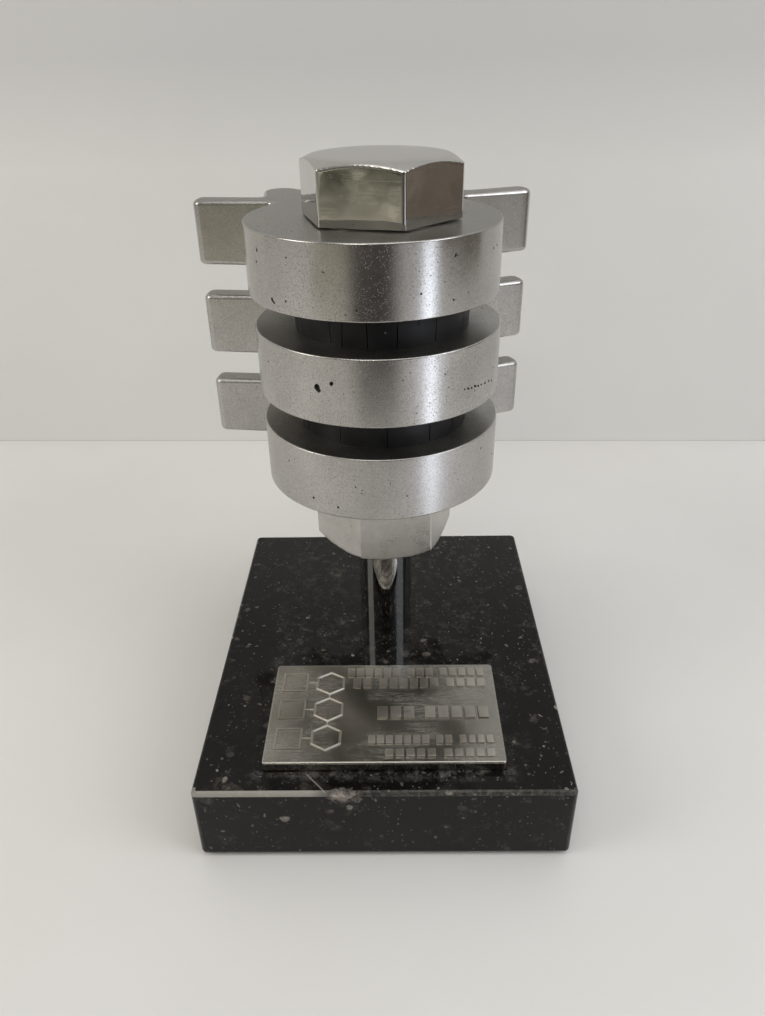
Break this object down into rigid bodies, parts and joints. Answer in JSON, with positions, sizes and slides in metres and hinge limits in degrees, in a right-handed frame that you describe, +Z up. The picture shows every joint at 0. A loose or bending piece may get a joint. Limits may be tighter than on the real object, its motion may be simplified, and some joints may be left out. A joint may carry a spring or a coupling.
{
  "type": "desk sculpture",
  "caption": "Spine-like desk ornament: vertebra-shaped cast links and black discs clamped on a hexagon bolt, over a chromed post on a stone block with a plate.",
  "frame": {"origin": "on the table, under the middle of the stone block", "axes": "+Z up along the bolt; -Y is the side with the plate, +X is to the right when facing the plate"},
  "size_m": [0.1035, 0.1327, 0.1677],
  "materials": {
    "stone": "polished black marble with sparse grey flecks",
    "felt": "matte felt",
    "tape": "matte adhesive foam",
    "plate_metal": "pewter-toned nickel, satin, with a shallow raised pattern",
    "zinc_steel": "zinc plated",
    "chrome": "mirror chrome",
    "satin_steel": "satin, lightly blotched",
    "bolt_chrome": "hand-buffed mirror chrome",
    "cast_aluminium": "polished casting with fine open pores",
    "black_rubber": "matte, cracked with age"
  },
  "bodies": {
    "base": {"felt_pad": "felt", "base_block": "stone", "plate_tape": "tape", "name_plate": "plate_metal", "base_screw": "zinc_steel", "base_lock_washer": "zinc_steel", "base_washer": "zinc_steel", "post": "chrome", "joining_stud": "zinc_steel", "lower_nut": "satin_steel", "clamp_bolt": "bolt_chrome"},
    "vertebra_lower": {"vertebra_lower": "cast_aluminium"},
    "disc_lower": {"disc_lower": "black_rubber"},
    "vertebra_middle": {"vertebra_middle": "cast_aluminium"},
    "disc_upper": {"disc_upper": "black_rubber"},
    "vertebra_upper": {"vertebra_upper": "cast_aluminium"}
  },
  "joints": [
    {"name": "vertebra_lower_turn", "type": "hinge", "parent": "base", "child": "vertebra_lower", "pos_m": [0.0004, 0.0116, 0.0899], "axis": [0, 0, 1], "continuous": true},
    {"name": "disc_lower_turn", "type": "hinge", "parent": "base", "child": "disc_lower", "pos_m": [0.0004, 0.0116, 0.1033], "axis": [0, 0, 1], "continuous": true},
    {"name": "vertebra_middle_turn", "type": "hinge", "parent": "base", "child": "vertebra_middle", "pos_m": [0.0004, 0.0116, 0.1167], "axis": [0, 0, 1], "continuous": true},
    {"name": "disc_upper_turn", "type": "hinge", "parent": "base", "child": "disc_upper", "pos_m": [0.0004, 0.0116, 0.1301], "axis": [0, 0, 1], "continuous": true},
    {"name": "vertebra_upper_turn", "type": "hinge", "parent": "base", "child": "vertebra_upper", "pos_m": [0.0004, 0.0116, 0.1435], "axis": [0, 0, 1], "continuous": true}
  ]
}
